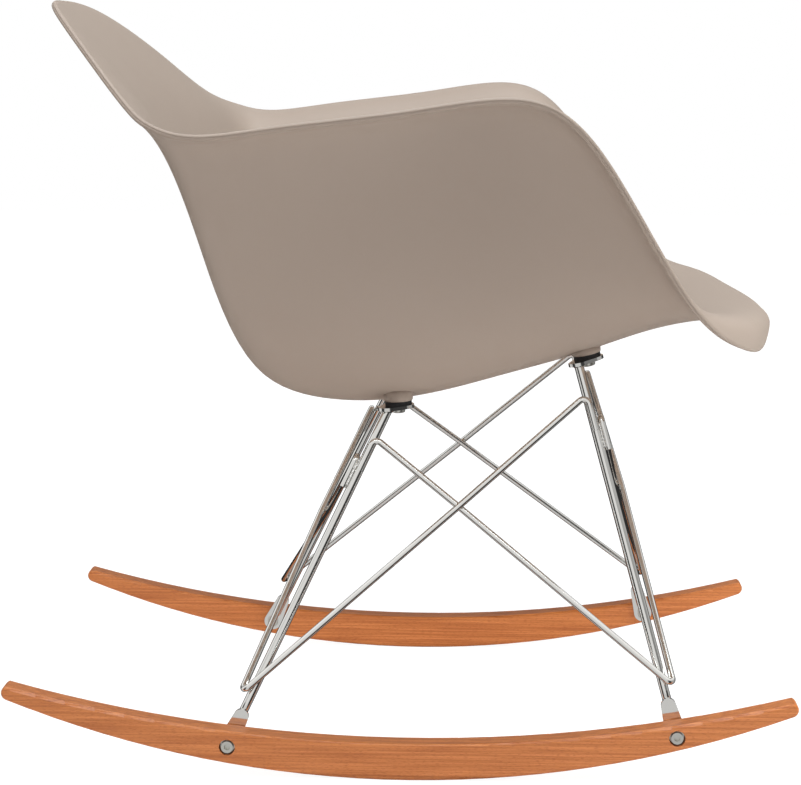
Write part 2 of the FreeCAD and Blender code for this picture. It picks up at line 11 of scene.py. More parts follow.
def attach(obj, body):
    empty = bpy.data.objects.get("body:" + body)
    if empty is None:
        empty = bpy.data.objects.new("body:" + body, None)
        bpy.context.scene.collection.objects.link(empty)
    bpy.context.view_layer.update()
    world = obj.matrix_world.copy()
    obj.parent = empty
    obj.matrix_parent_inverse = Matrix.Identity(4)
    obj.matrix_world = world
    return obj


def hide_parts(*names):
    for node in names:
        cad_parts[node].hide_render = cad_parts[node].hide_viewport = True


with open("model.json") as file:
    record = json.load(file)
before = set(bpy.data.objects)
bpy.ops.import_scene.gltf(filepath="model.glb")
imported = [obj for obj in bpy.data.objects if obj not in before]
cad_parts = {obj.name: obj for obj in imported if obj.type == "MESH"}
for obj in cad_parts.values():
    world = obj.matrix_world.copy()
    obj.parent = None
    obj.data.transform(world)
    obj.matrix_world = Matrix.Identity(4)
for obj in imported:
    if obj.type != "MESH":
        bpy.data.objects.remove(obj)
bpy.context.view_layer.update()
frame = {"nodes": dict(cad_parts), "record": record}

# Dressed view of a moulded plastic rocking chair. Metres, in the frame of the CAD model:
# origin on the floor in the middle plane, +X the front of the chair, +Y the sitter's left, +Z up.

MM = 0.001

# Camera, fitted to the photograph's rockers and shell
CAMERA_PLACE = Vector((0.0708, -2.0259, 0.6352))
CAMERA_PITCH_DOWN = math.radians(9.233)
CAMERA_YAW_TO_BACK = math.radians(2.169)
CAMERA_ROLL = math.radians(0.203)
FOCAL_LENGTH_PIXELS = 2171.96
PHOTO_WIDTH = 801
SENSOR_WIDTH = 36.0

# White, black and the colours of light, and the even light of the room
WHITE = (1.0, 1.0, 1.0, 1.0)
BLACK = (0.0, 0.0, 0.0, 1.0)
NEUTRAL_LIGHT = (1.0, 1.0, 1.0)
COOL_LIGHT = (0.87, 0.95, 1.0)
WARM_LIGHT = (1.0, 0.93, 0.87)
ROOM_TINT = (1.0, 0.94, 0.89, 1.0)
ROOM_STRENGTH = 0.31

# Lamps: name, place, what they point at, width and height, watts and colour
LAMPS = (
    ("top_softbox", (0.1, -0.5, 2.5), (0.0, 0.0, 0.3), (2.4, 2.0), 72.5, COOL_LIGHT),
    ("front_softbox", (-0.6, -3.5, 2.3), (0.0, 0.0, 0.3), (2.6, 1.4), 19.0, NEUTRAL_LIGHT),
    ("lip_softbox", (0.85, -0.3, 0.44), (0.3, 0.0, 0.39), (0.3, 0.2), 3.8, COOL_LIGHT),
    ("far_rocker_fill", (0.0, -0.12, 0.08), (0.0, 0.2, 0.03), (0.7, 0.08), 0.45, WARM_LIGHT),
    ("back_softbox", (-1.8, 2.0, 1.2), (0.0, 0.0, 0.4), (1.6, 1.4), 12.0, NEUTRAL_LIGHT),
    ("floor_bounce", (0.0, -1.3, 0.06), (0.0, 0.0, 0.45), (2.0, 0.5), 1.2, WARM_LIGHT),
    ("under_bounce", (0.0, 0.0, 0.004), (0.0, 0.0, 1.0), (1.4, 1.2), 2.0, WARM_LIGHT),
)
LAMP_IN_MIRRORS = "top_softbox"

# Studio in mirrors: grey at each share of a turn from the chair's back, and of the way up from below
STUDIO_PANELS = (
    (0.0, 0.95), (0.03, 0.90), (0.05, 0.06), (0.13, 0.06), (0.15, 0.82), (0.30, 0.82), (0.33, 0.05),
    (0.43, 0.05), (0.46, 0.50), (0.57, 0.45), (0.60, 0.04), (0.91, 0.04), (0.94, 0.95), (1.0, 0.95),
)
STUDIO_CEILING = ((0.5, 0.02), (0.62, 0.05), (0.72, 0.7), (0.85, 1.0))

# Floor: a steady white to the camera with a share of its real shading, and its brightness in mirrors
FLOOR_HALF = 6.0
FLOOR_GREY = (0.90, 0.90, 0.90, 1.0)
FLOOR_ROUGHNESS = 0.9
FLOOR_WHITE = 0.94
FLOOR_SHADOW = 0.24
FLOOR_IN_MIRRORS = 0.8

# Fine surface of each finish: scale and height of its grain, scale of its smudges, range of roughness
SURFACE_INPUTS = ("Grain Scale", "Grain Height", "Smudge Scale", "Roughness Low", "Roughness High")
SHELL_SURFACE = (1300.0, 0.18, 7.0, 0.52, 0.64)
CHROME_SURFACE = (700.0, 0.02, 30.0, 0.03, 0.09)
RUBBER_SURFACE = (1800.0, 0.3, 60.0, 0.6, 0.8)
BRASS_SURFACE = (2500.0, 0.1, 90.0, 0.25, 0.4)
STEEL_SURFACE = (2200.0, 0.12, 120.0, 0.22, 0.42)
GRAIN_DEPTH = 0.2 * MM

# Colours of the finishes; tones have a place in their ramp
SHELL_TONES = ((0.3, (0.319, 0.247, 0.199)), (0.7, (0.335, 0.261, 0.211)))
CHROME_COLOUR = (0.82, 0.81, 0.78, 1.0)
RUBBER_COLOUR = (0.016, 0.016, 0.017, 1.0)
BRASS_COLOUR = (0.62, 0.42, 0.16, 1.0)
STEEL_COLOUR = (0.66, 0.65, 0.60, 1.0)

# Beech: growth rings and short dark flecks, drawn out along the rockers
BEECH_TONES = ((0.38, (0.41, 0.116, 0.024)), (0.5, (0.50, 0.157, 0.036)), (0.64, (0.60, 0.205, 0.056)))
RING_STRETCH = (3.0, 130.0, 190.0)
FLECK_TONES = ((0.55, (1.0, 1.0, 1.0)), (0.63, (0.70, 0.60, 0.52)))
FLECK_STRETCH = (240.0, 1600.0, 1600.0)
FLECK_SHARE = 0.6
FLECK_HEIGHT = 0.15
BEECH_ROUGHNESS = (0.32, 0.5)

# Edges sharper than this stay hard on the CAD nodes
HARD_EDGE_ANGLE = math.radians(30)

# Mounts under the seat: place lengthwise and height of the mount tab's upper face, and its slope
MOUNTS = ((-3.5 * MM, 312.8 * MM, math.radians(3)), (164.5 * MM, 356.5 * MM, math.radians(13)))
MOUNT_SPREAD = 218 * MM
SHOCK_MOUNT_THICKNESS = 3.5 * MM

# Bosses: rings by radius and height over the shock mount, then radii of the rings inside the wall
BOSS_STEPS = 48
BOSS_RADIUS = 13 * MM
BOSS_HOLE_RADIUS = 3.5 * MM
BOSS_FOOT_ROUND = 1.0 * MM
BOSS_SHOULDER = 0.3 * MM
BOSS_DRAFT = 0.6 * MM
BOSS_HIDDEN_HOLE = 0.1 * MM
BOSS_FOOT = (
    (BOSS_HOLE_RADIUS, 0.0),
    (BOSS_RADIUS - BOSS_FOOT_ROUND, 0.0),
    (BOSS_RADIUS - BOSS_SHOULDER, BOSS_SHOULDER),
    (BOSS_RADIUS, BOSS_FOOT_ROUND),
)
BOSS_TOP = (BOSS_RADIUS + BOSS_DRAFT, BOSS_HIDDEN_HOLE)

# Ripples of a weld bead: their pitch and radius, how the radius varies, and how round they are
RIPPLE_PITCH = 1.1 * MM
RIPPLE_RADIUS = 1.7 * MM
RIPPLE_SHARES = (0.85, 1.1)
RIPPLE_SEED = 7
RIPPLE_SUBDIVISIONS = 2

# Corners of a CAD mesh that round to the same step are one point
MERGE_STEPS_PER_METRE = 1e6

# Shell: wall, grid lines each way, how far they crowd to the rim, and the least angle for a normal
SHELL_WALL = 5.5 * MM
SHELL_GRID = 141
GRID_CROWDING = 0.45 * math.pi
SHELL_TIP_ANGLE = 0.03

# Rim: shares of the wall's thickness, on the way through it and bulging out, with a groove halfway
RIM_PROFILE = (
    (0.04, 0.16), (0.14, 0.30), (0.28, 0.39), (0.44, 0.42), (0.49, 0.34), (0.54, 0.42),
    (0.72, 0.39), (0.86, 0.30), (0.96, 0.16),
)

# The CAD shell's ribs, in millimetres: control points from the centre line out to the rim
SHELL_RIBS = (
    ((330, 0, 379),) * 6,
    ((326, 0, 386), (326, 30, 387), (325, 62, 387), (324, 74, 386), (324, 78, 382), (322, 79, 377)),
    ((303, 0, 393), (303, 60, 393), (305, 120, 395), (309, 150, 396), (310, 161, 391), (306, 164, 375)),
    ((266, 0, 392), (268, 80, 392), (273, 160, 396), (283, 203, 407), (286, 216, 405), (282, 222, 385)),
    ((222, 0, 380), (222, 90, 380), (224, 195, 380), (226, 226, 414), (233, 240, 433), (237, 262, 423)),
    ((160, 0, 354), (160, 90, 354), (160, 210, 351), (161, 233, 436), (162, 246, 538), (161, 302, 543)),
    ((90, 0, 332), (90, 90, 332), (90, 225, 325), (92, 232, 470), (95, 252, 584), (95, 310, 585)),
    ((15, 0, 312), (15, 85, 312), (14, 220, 305), (12, 228, 450), (8, 252, 575), (8, 310, 575)),
    ((-60, 0, 306), (-62, 80, 306), (-68, 206, 304), (-76, 225, 440), (-86, 254, 563), (-88, 310, 563)),
    ((-121, 0, 323), (-123, 75, 324), (-133, 190, 336), (-147, 222, 440), (-153, 252, 552), (-152, 310, 555)),
    ((-155, 0, 384), (-156, 75, 386), (-160, 165, 400), (-174, 205, 468), (-182, 240, 547), (-191, 300, 561)),
    ((-184, 0, 465), (-184, 75, 467), (-185, 140, 478), (-192, 178, 532), (-204, 203, 560), (-219, 257, 575)),
    ((-231, 0, 560), (-231, 60, 561), (-228, 110, 562), (-232, 142, 582), (-246, 158, 600), (-258, 200, 612)),
    ((-285, 0, 628), (-285, 40, 628), (-283, 78, 628), (-284, 98, 633), (-292, 106, 643), (-300, 122, 651)),
    ((-322, 0, 665),) * 6,
)


# Nodes shared by materials and the world

def material_nodes(name):
    """A new material, its node tree and its shader."""
    material = bpy.data.materials.new(name)
    material.use_nodes = True
    tree = material.node_tree
    return material, tree, tree.nodes["Principled BSDF"]


def add(tree, kind, **values):
    """A new node, with its named inputs or properties set."""
    node = tree.nodes.new(kind)
    for key, value in values.items():
        if key in node.inputs:
            node.inputs[key].default_value = value
        else:
            setattr(node, key, value)
    return node


def ramp(tree, factor, stops):
    """A colour ramp fed by factor; stops are (position, colour)."""
    node = tree.nodes.new("ShaderNodeValToRGB")
    elements = node.color_ramp.elements
    while len(elements) < len(stops):
        elements.new(0.5)
    for element, (position, colour) in zip(elements, stops):
        element.position = position
        element.color = (colour[0], colour[1], colour[2], 1.0)
    tree.links.new(factor, node.inputs["Fac"])
    return node.outputs["Color"]


def grey_ramp(tree, value, stops):
    """A ramp of greys; stops are (position, grey)."""
    return ramp(tree, value, [(place, (grey, grey, grey)) for place, grey in stops])


def scaled(tree, coordinates, scale):
    """Texture coordinates stretched by a scale for each axis."""
    node = add(tree, "ShaderNodeMapping", Scale=scale)
    tree.links.new(coordinates, node.inputs["Vector"])
    return node.outputs["Vector"]


def noise(tree, coordinates, scale, detail, roughness=0.5):
    """A cloudy value of about 0 to 1."""
    node = add(tree, "ShaderNodeTexNoise", Scale=scale, Detail=detail, Roughness=roughness)
    tree.links.new(coordinates, node.inputs["Vector"])
    return node.outputs["Fac"]


def mapped(tree, value, source, target):
    """A value carried over from one range to another."""
    node = tree.nodes.new("ShaderNodeMapRange")
    for name, number in zip(("From Min", "From Max", "To Min", "To Max"), (*source, *target)):
        node.inputs[name].default_value = number
    tree.links.new(value, node.inputs["Value"])
    return node.outputs["Result"]


def blend(tree, kind, factor, first, second):
    """Two colours mixed in a given way."""
    node = tree.nodes.new("ShaderNodeMix")
    node.data_type = "RGBA"
    node.blend_type = kind
    node.inputs["Factor"].default_value = factor
    tree.links.new(first, node.inputs["A"])
    tree.links.new(second, node.inputs["B"])
    return node.outputs["Result"]


def by_ray(tree, matt, mirrored, seen):
    """One shader for soft light, one for what mirrors show and one for the camera."""
    path = tree.nodes.new("ShaderNodeLightPath")
    to_mirrors = tree.nodes.new("ShaderNodeMixShader")
    to_camera = tree.nodes.new("ShaderNodeMixShader")
    link = tree.links.new
    link(path.outputs["Is Glossy Ray"], to_mirrors.inputs["Fac"])
    link(matt, to_mirrors.inputs[1])
    link(mirrored, to_mirrors.inputs[2])
    link(path.outputs["Is Camera Ray"], to_camera.inputs["Fac"])
    link(to_mirrors.outputs["Shader"], to_camera.inputs[1])
    link(seen, to_camera.inputs[2])
    return to_camera.outputs["Shader"]


# Shader groups used more than once

def surface_group():
    """Fine grain as a bump, and broad smudges that shift the roughness."""
    group = bpy.data.node_groups.new("fine_surface", "ShaderNodeTree")
    face = group.interface
    for name, default in zip(SURFACE_INPUTS, SHELL_SURFACE):
        socket = face.new_socket(name=name, in_out="INPUT", socket_type="NodeSocketFloat")
        socket.default_value = default
    face.new_socket(name="Roughness", in_out="OUTPUT", socket_type="NodeSocketFloat")
    face.new_socket(name="Normal", in_out="OUTPUT", socket_type="NodeSocketVector")
    start = group.nodes.new("NodeGroupInput")
    end = group.nodes.new("NodeGroupOutput")
    place = group.nodes.new("ShaderNodeTexCoord").outputs["Object"]
    grain = add(group, "ShaderNodeTexNoise", Detail=4.0)
    smudge = add(group, "ShaderNodeTexNoise", Detail=5.0)
    bump = add(group, "ShaderNodeBump", Distance=GRAIN_DEPTH)
    roughness = group.nodes.new("ShaderNodeMapRange")
    link = group.links.new
    link(place, grain.inputs["Vector"])
    link(place, smudge.inputs["Vector"])
    link(start.outputs["Grain Scale"], grain.inputs["Scale"])
    link(start.outputs["Smudge Scale"], smudge.inputs["Scale"])
    link(start.outputs["Grain Height"], bump.inputs["Strength"])
    link(grain.outputs["Fac"], bump.inputs["Height"])
    link(smudge.outputs["Fac"], roughness.inputs["Value"])
    link(start.outputs["Roughness Low"], roughness.inputs["To Min"])
    link(start.outputs["Roughness High"], roughness.inputs["To Max"])
    link(roughness.outputs["Result"], end.inputs["Roughness"])
    link(bump.outputs["Normal"], end.inputs["Normal"])
    return group


def studio_group():
    """What mirrors see all round: white panels, dark gaps, a grey panel and dark corners."""
    group = bpy.data.node_groups.new("studio_panels", "ShaderNodeTree")
    group.interface.new_socket(name="Direction", in_out="INPUT", socket_type="NodeSocketVector")
    group.interface.new_socket(name="Color", in_out="OUTPUT", socket_type="NodeSocketColor")
    start = group.nodes.new("NodeGroupInput")
    end = group.nodes.new("NodeGroupOutput")
    turn = add(group, "ShaderNodeTexGradient", gradient_type="RADIAL")
    group.links.new(start.outputs["Direction"], turn.inputs["Vector"])
    panels = grey_ramp(group, turn.outputs["Fac"], STUDIO_PANELS)
    group.links.new(panels, end.inputs["Color"])
    return group


FINE_SURFACE = surface_group()
STUDIO = studio_group()


def fine_surface(tree, shader, values):
    """The fine surface's roughness and normal on a shader, with a finish's own values."""
    node = tree.nodes.new("ShaderNodeGroup")
    node.node_tree = FINE_SURFACE
    for name, value in zip(SURFACE_INPUTS, values):
        node.inputs[name].default_value = value
    tree.links.new(node.outputs["Roughness"], shader.inputs["Roughness"])
    tree.links.new(node.outputs["Normal"], shader.inputs["Normal"])


def studio_colour(tree, direction):
    """What a mirror shows of the studio's panels along a direction."""
    panels = tree.nodes.new("ShaderNodeGroup")
    panels.node_tree = STUDIO
    tree.links.new(direction, panels.inputs["Direction"])
    return panels.outputs["Color"]


# Materials

def plain_finish(name, colour, metallic, surface):
    """One colour with the fine surface over it."""
    material, tree, shader = material_nodes(name)
    shader.inputs["Base Color"].default_value = colour
    shader.inputs["Metallic"].default_value = metallic
    fine_surface(tree, shader, surface)
    return material


def shell_plastic():
    """Matt polypropylene, faintly uneven in tone."""
    material, tree, shader = material_nodes("shell_plastic")
    place = tree.nodes.new("ShaderNodeTexCoord").outputs["Object"]
    tones = ramp(tree, noise(tree, place, scale=4.0, detail=4.0), SHELL_TONES)
    tree.links.new(tones, shader.inputs["Base Color"])
    fine_surface(tree, shader, SHELL_SURFACE)
    return material


def beech():
    """Growth rings in warm tones, with short dark flecks and a fine bump along them."""
    material, tree, shader = material_nodes("beech")
    link = tree.links.new
    place = tree.nodes.new("ShaderNodeTexCoord").outputs["Object"]
    rings = noise(tree, scaled(tree, place, RING_STRETCH), scale=3.0, detail=6.0, roughness=0.6)
    flecks = noise(tree, scaled(tree, place, FLECK_STRETCH), scale=1.0, detail=2.0)
    tones = ramp(tree, rings, BEECH_TONES)
    marks = ramp(tree, flecks, FLECK_TONES)
    link(blend(tree, "MULTIPLY", FLECK_SHARE, tones, marks), shader.inputs["Base Color"])
    link(mapped(tree, rings, (0.0, 1.0), BEECH_ROUGHNESS), shader.inputs["Roughness"])
    bump = add(tree, "ShaderNodeBump", Strength=FLECK_HEIGHT, Distance=GRAIN_DEPTH)
    link(flecks, bump.inputs["Height"])
    link(bump.outputs["Normal"], shader.inputs["Normal"])
    return material


def chromed_steel():
    return plain_finish("chromed_steel", CHROME_COLOUR, 1.0, CHROME_SURFACE)


def black_rubber():
    return plain_finish("black_rubber", RUBBER_COLOUR, 0.0, RUBBER_SURFACE)


def insert_brass():
    return plain_finish("insert_brass", BRASS_COLOUR, 1.0, BRASS_SURFACE)


def fastener_steel():
    return plain_finish("fastener_steel", STEEL_COLOUR, 1.0, STEEL_SURFACE)


def floor_paint():
    """White with a faint shadow to the camera, the studio to mirrors, and matt to other light."""
    material, tree, shader = material_nodes("floor_paint")
    shader.inputs["Base Color"].default_value = FLOOR_GREY
    shader.inputs["Roughness"].default_value = FLOOR_ROUGHNESS
    matt = shader.outputs["BSDF"]
    link = tree.links.new
    nothing = add(tree, "ShaderNodeBsdfTransparent", Color=BLACK)
    shaded = add(tree, "ShaderNodeMixShader", Fac=FLOOR_SHADOW)
    link(nothing.outputs["BSDF"], shaded.inputs[1])
    link(matt, shaded.inputs[2])
    white = add(tree, "ShaderNodeEmission", Color=WHITE, Strength=FLOOR_WHITE)
    seen = tree.nodes.new("ShaderNodeAddShader")
    link(white.outputs["Emission"], seen.inputs[0])
    link(shaded.outputs["Shader"], seen.inputs[1])
    ahead = add(tree, "ShaderNodeVectorMath", operation="SCALE", Scale=-1.0)
    link(tree.nodes.new("ShaderNodeNewGeometry").outputs["Incoming"], ahead.inputs["Vector"])
    panels = add(tree, "ShaderNodeEmission", Strength=FLOOR_IN_MIRRORS)
    link(studio_colour(tree, ahead.outputs["Vector"]), panels.inputs["Color"])
    surface = by_ray(tree, matt, panels.outputs["Emission"], seen.outputs["Shader"])
    link(surface, tree.nodes["Material Output"].inputs["Surface"])
    return material


# Objects and meshes

def scene_object(name, data):
    """A new object at the origin, linked to the scene."""
    obj = bpy.data.objects.new(name, data)
    bpy.context.collection.objects.link(obj)
    return obj


def shade_smooth(mesh):
    """Rounds the shading of every face."""
    mesh.polygons.foreach_set("use_smooth", [True] * len(mesh.polygons))


def outwards(mesh):
    """Turns all faces outwards and shades them smooth."""
    work = bmesh.new()
    work.from_mesh(mesh)
    bmesh.ops.recalc_face_normals(work, faces=work.faces)
    work.to_mesh(mesh)
    work.free()
    shade_smooth(mesh)


def moulded_piece(name, mesh, material):
    """A piece of the moulding, with its faces turned outwards."""
    obj = scene_object(name, mesh)
    outwards(mesh)
    mesh.materials.append(material)
    return obj


def strip(low, high):
    """Quads between two closed lines of as many points."""
    count = len(low)
    return [(low[k], high[k], high[(k + 1) % count], low[(k + 1) % count]) for k in range(count)]


# Shell: a smooth patch between closed curves, with a rounded rim

def closed_spline(angles, points):
    """The second derivatives of a closed cubic curve through the points at the angles."""
    count = len(angles)
    steps = np.diff(np.append(angles, angles[0] + 2 * math.pi))
    matrix = np.zeros((count, count))
    right = np.zeros((count, points.shape[1]))
    for i in range(count):
        before = steps[i - 1]
        after = steps[i]
        matrix[i, i - 1] += before
        matrix[i, i] += 2 * (before + after)
        matrix[i, (i + 1) % count] += after
        onward = (points[(i + 1) % count] - points[i]) / after
        behind = (points[i] - points[i - 1]) / before
        right[i] = 6 * (onward - behind)
    return steps, np.linalg.solve(matrix, right)


def spline_at(spline, angle):
    """The point and the slope of a closed cubic curve at an angle."""
    angles, points, steps, bends = spline
    i = min(int(np.searchsorted(angles, angle, side="right")) - 1, len(angles) - 1)
    k = (i + 1) % len(angles)
    step = steps[i]
    b = (angle - angles[i]) / step
    a = 1 - b
    bulge = (a ** 3 - a) * bends[i] + (b ** 3 - b) * bends[k]
    point = a * points[i] + b * points[k] + bulge * step ** 2 / 6
    lean = (3 * b * b - 1) * bends[k] - (3 * a * a - 1) * bends[i]
    slope = (points[k] - points[i]) / step + lean * step / 6
    return point.reshape(6, 3), slope.reshape(6, 3)


def bezier(points, share):
    """The point at a share of the way along a curve with these control points, and its direction."""
    while len(points) > 2:
        points = points[:-1] + (points[1:] - points[:-1]) * share
    return points[0] + (points[1] - points[0]) * share, points[1] - points[0]


def shell_curves():
    """Closed curves through the ribs' control points, once round the shell."""
    ribs = np.array(SHELL_RIBS, dtype=float) * MM
    lengths = np.linalg.norm(np.diff(ribs[:, 0], axis=0), axis=1)
    travelled = np.concatenate(([0.0], np.cumsum(lengths)))
    angles = np.arccos(1 - 2 * travelled / travelled[-1])
    mirrored = ribs[-2:0:-1] * np.array([1.0, -1.0, 1.0])
    around = np.concatenate((ribs, mirrored)).reshape(-1, 18)
    all_angles = np.concatenate((angles, 2 * math.pi - angles[-2:0:-1]))
    steps, bends = closed_spline(all_angles, around)
    return all_angles, around, steps, bends


def shell_place(curves, lengthwise, across):
    """A point of the outer skin and the normal into the seat."""
    angle = math.acos(max(-1.0, min(1.0, -lengthwise)))
    steady = max(SHELL_TIP_ANGLE, min(math.pi - SHELL_TIP_ANGLE, angle))
    share = min(1.0, abs(across) / math.sin(steady))
    point = bezier(spline_at(curves, angle)[0], share)[0]
    controls, slopes = spline_at(curves, steady)
    sideways = bezier(controls, share)[1]
    backwards = bezier(slopes, share)[0]
    normal = np.cross(sideways, backwards)
    normal /= np.linalg.norm(normal)
    flip = np.array([1.0, -1.0 if across < 0 else 1.0, 1.0])
    return point * flip, normal * flip


def crowded(index, count):
    """Grid lines from -1 to 1, closer together towards both ends."""
    return math.sin(GRID_CROWDING * (2 * index / (count - 1) - 1)) / math.sin(GRID_CROWDING)


def outer_skin(count):
    """Points of the outer skin on a grid, and their normals into the seat."""
    curves = shell_curves()
    points = np.zeros((count, count, 3))
    normals = np.zeros((count, count, 3))
    for i in range(count):
        p = crowded(i, count)
        for j in range(count):
            q = crowded(j, count)
            lengthwise = p * math.sqrt(1 - q * q / 2)
            across = q * math.sqrt(1 - p * p / 2)
            points[i, j], normals[i, j] = shell_place(curves, lengthwise, across)
    return points, normals


def skin_faces(count):
    """Quads of the outer skin and, turned over, of the inner skin."""
    shift = count * count
    faces = []
    for i in range(count - 1):
        for j in range(count - 1):
            a = i * count + j
            faces.append((a, a + 1, a + count + 1, a + count))
            faces.append((shift + a, shift + a + count, shift + a + count + 1, shift + a + 1))
    return faces


def grid_border(count):
    """Grid places once round the edge of a skin."""
    last = count - 1
    border = [(0, j) for j in range(last)]
    border += [(i, last) for i in range(last)]
    border += [(last, j) for j in range(last, 0, -1)]
    border += [(i, 0) for i in range(last, 0, -1)]
    return border


def rim_line(skin, normals, border, through, bulge):
    """Points once round the rim, some way through the wall and bulging out from it."""
    line = []
    for k, (i, j) in enumerate(border):
        ahead = skin[border[(k + 1) % len(border)]] - skin[border[k - 1]]
        out = np.cross(ahead, normals[i, j])
        out /= np.linalg.norm(out)
        line.append(tuple(skin[i, j] + (normals[i, j] * through + out * bulge) * SHELL_WALL))
    return line


def shell_mesh(count):
    """Outer skin, inner skin and a rounded rim between them, as one closed mesh."""
    outer, normals = outer_skin(count)
    inner = outer + normals * SHELL_WALL
    points = [tuple(p) for p in outer.reshape(-1, 3)] + [tuple(p) for p in inner.reshape(-1, 3)]
    faces = skin_faces(count)
    border = grid_border(count)
    lines = [[i * count + j for i, j in border]]
    for through, bulge in RIM_PROFILE:
        start = len(points)
        points += rim_line(outer, normals, border, through, bulge)
        lines.append(list(range(start, len(points))))
    lines.append([count * count + place for place in lines[0]])
    for low, high in zip(lines, lines[1:]):
        faces += strip(low, high)
    mesh = bpy.data.meshes.new("shell_skin")
    mesh.from_pydata(points, [], faces)
    return mesh


def seat_skin(material):
    """The seat, back and arms in one."""
    return moulded_piece("shell_body", shell_mesh(SHELL_GRID), material)


# Bosses under the seat

def mount_frames():
    """The four mounts' axes, with the origin on top of the shock mount."""
    frames = []
    for x, z, slope in MOUNTS:
        for side in (-1, 1):
            turn = Matrix.Rotation(-slope, 4, "Y")
            place = Matrix.Translation((x, side * MOUNT_SPREAD / 2, z)) @ turn
            frames.append(place @ Matrix.Translation((0, 0, SHOCK_MOUNT_THICKNESS)))
    return frames


def level_ring(axes, radius):
    """Points round a mount's axis, level with the top of its shock mount."""
    turns = [2 * math.pi * k / BOSS_STEPS for k in range(BOSS_STEPS)]
    return [axes @ Vector((radius * math.cos(turn), radius * math.sin(turn), 0)) for turn in turns]


def boss_rings(axes, skin):
    """A boss's rings from its hole, round its foot and up its side, then inside the shell's wall."""
    up = axes.to_3x3() @ Vector((0, 0, 1))
    rings = []
    for radius, height in BOSS_FOOT:
        rings.append([low + up * height for low in level_ring(axes, radius)])
    for radius in BOSS_TOP:
        ring = level_ring(axes, radius)
        rings.append([low + up * (skin.ray_cast(low, up)[3] + SHELL_WALL / 2) for low in ring])
    return rings


def seat_bosses(skin_mesh, material):
    """Round bosses from the shock mounts up into the middle of the shell's wall."""
    corners = [vertex.co for vertex in skin_mesh.vertices]
    skin = BVHTree.FromPolygons(corners, [face.vertices[:] for face in skin_mesh.polygons])
    points = []
    faces = []
    for axes in mount_frames():
        lines = []
        for ring in boss_rings(axes, skin):
            start = len(points)
            points += ring
            lines.append(range(start, len(points)))
        for low, high in zip(lines, lines[1:]):
            faces += strip(low, high)
    mesh = bpy.data.meshes.new("shell_bosses")
    mesh.from_pydata(points, [], faces)
    return moulded_piece("shell_bosses", mesh, material)


# Weld ripples: small overlapping drops along each bead of the CAD model

def islands(mesh):
    """The corner points of each separate solid in a mesh."""
    parent = list(range(len(mesh.vertices)))

    def root(i):
        while parent[i] != i:
            parent[i] = parent[parent[i]]
            i = parent[i]
        return i

    for edge in mesh.edges:
        parent[root(edge.vertices[0])] = root(edge.vertices[1])
    joined = {}
    for vertex in mesh.vertices:
        key = tuple(round(c * MERGE_STEPS_PER_METRE) for c in vertex.co)
        joined.setdefault(key, vertex.index)
        parent[root(vertex.index)] = root(joined[key])
    groups = {}
    for vertex in mesh.vertices:
        groups.setdefault(root(vertex.index), []).append(vertex.co[:])
    return [np.array(group) for group in groups.values()]


def bead_lines(mesh):
    """For each bead the two ends of its longest axis, a drop's radius in."""
    lines = []
    for points in islands(mesh):
        middle = points.mean(axis=0)
        axis = np.linalg.eigh(np.cov((points - middle).T))[1][:, -1]
        reach = (points - middle) @ axis
        first = middle + axis * (reach.min() + RIPPLE_RADIUS)
        last = middle + axis * (reach.max() - RIPPLE_RADIUS)
        lines.append((first, last))
    return lines


def ripple_inputs(group):
    """The group's named inputs and its result."""
    face = group.interface
    face.new_socket(name="Geometry", in_out="INPUT", socket_type="NodeSocketGeometry")
    for name, kind, default in (("Pitch", "Float", RIPPLE_PITCH), ("Radius", "Float", RIPPLE_RADIUS),
                                ("Seed", "Int", RIPPLE_SEED)):
        socket = face.new_socket(name=name, in_out="INPUT", socket_type="NodeSocket" + kind)
        socket.default_value = default
    face.new_socket(name="Geometry", in_out="OUTPUT", socket_type="NodeSocketGeometry")


def ripple_group(material):
    """Drops of weld metal along curves: points at a pitch, and a ball at each, slightly varied."""
    group = bpy.data.node_groups.new("weld_ripples", "GeometryNodeTree")
    ripple_inputs(group)
    start = group.nodes.new("NodeGroupInput")
    end = group.nodes.new("NodeGroupOutput")
    points = add(group, "GeometryNodeCurveToPoints", mode="LENGTH")
    drop = add(group, "GeometryNodeMeshIcoSphere", Subdivisions=RIPPLE_SUBDIVISIONS)
    share = group.nodes.new("FunctionNodeRandomValue")
    share.data_type = "FLOAT"
    least, most = RIPPLE_SHARES
    share.inputs["Min"].default_value = least
    share.inputs["Max"].default_value = most
    place = group.nodes.new("GeometryNodeInstanceOnPoints")
    real = group.nodes.new("GeometryNodeRealizeInstances")
    paint = add(group, "GeometryNodeSetMaterial", Material=material)
    link = group.links.new
    link(start.outputs["Geometry"], points.inputs["Curve"])
    link(start.outputs["Pitch"], points.inputs["Length"])
    link(start.outputs["Radius"], drop.inputs["Radius"])
    link(start.outputs["Seed"], share.inputs["Seed"])
    link(points.outputs["Points"], place.inputs["Points"])
    link(drop.outputs["Mesh"], place.inputs["Instance"])
    link(share.outputs["Value"], place.inputs["Scale"])
    link(place.outputs["Instances"], real.inputs["Geometry"])
    link(real.outputs["Geometry"], paint.inputs["Geometry"])
    link(paint.outputs["Geometry"], end.inputs["Geometry"])
    return group


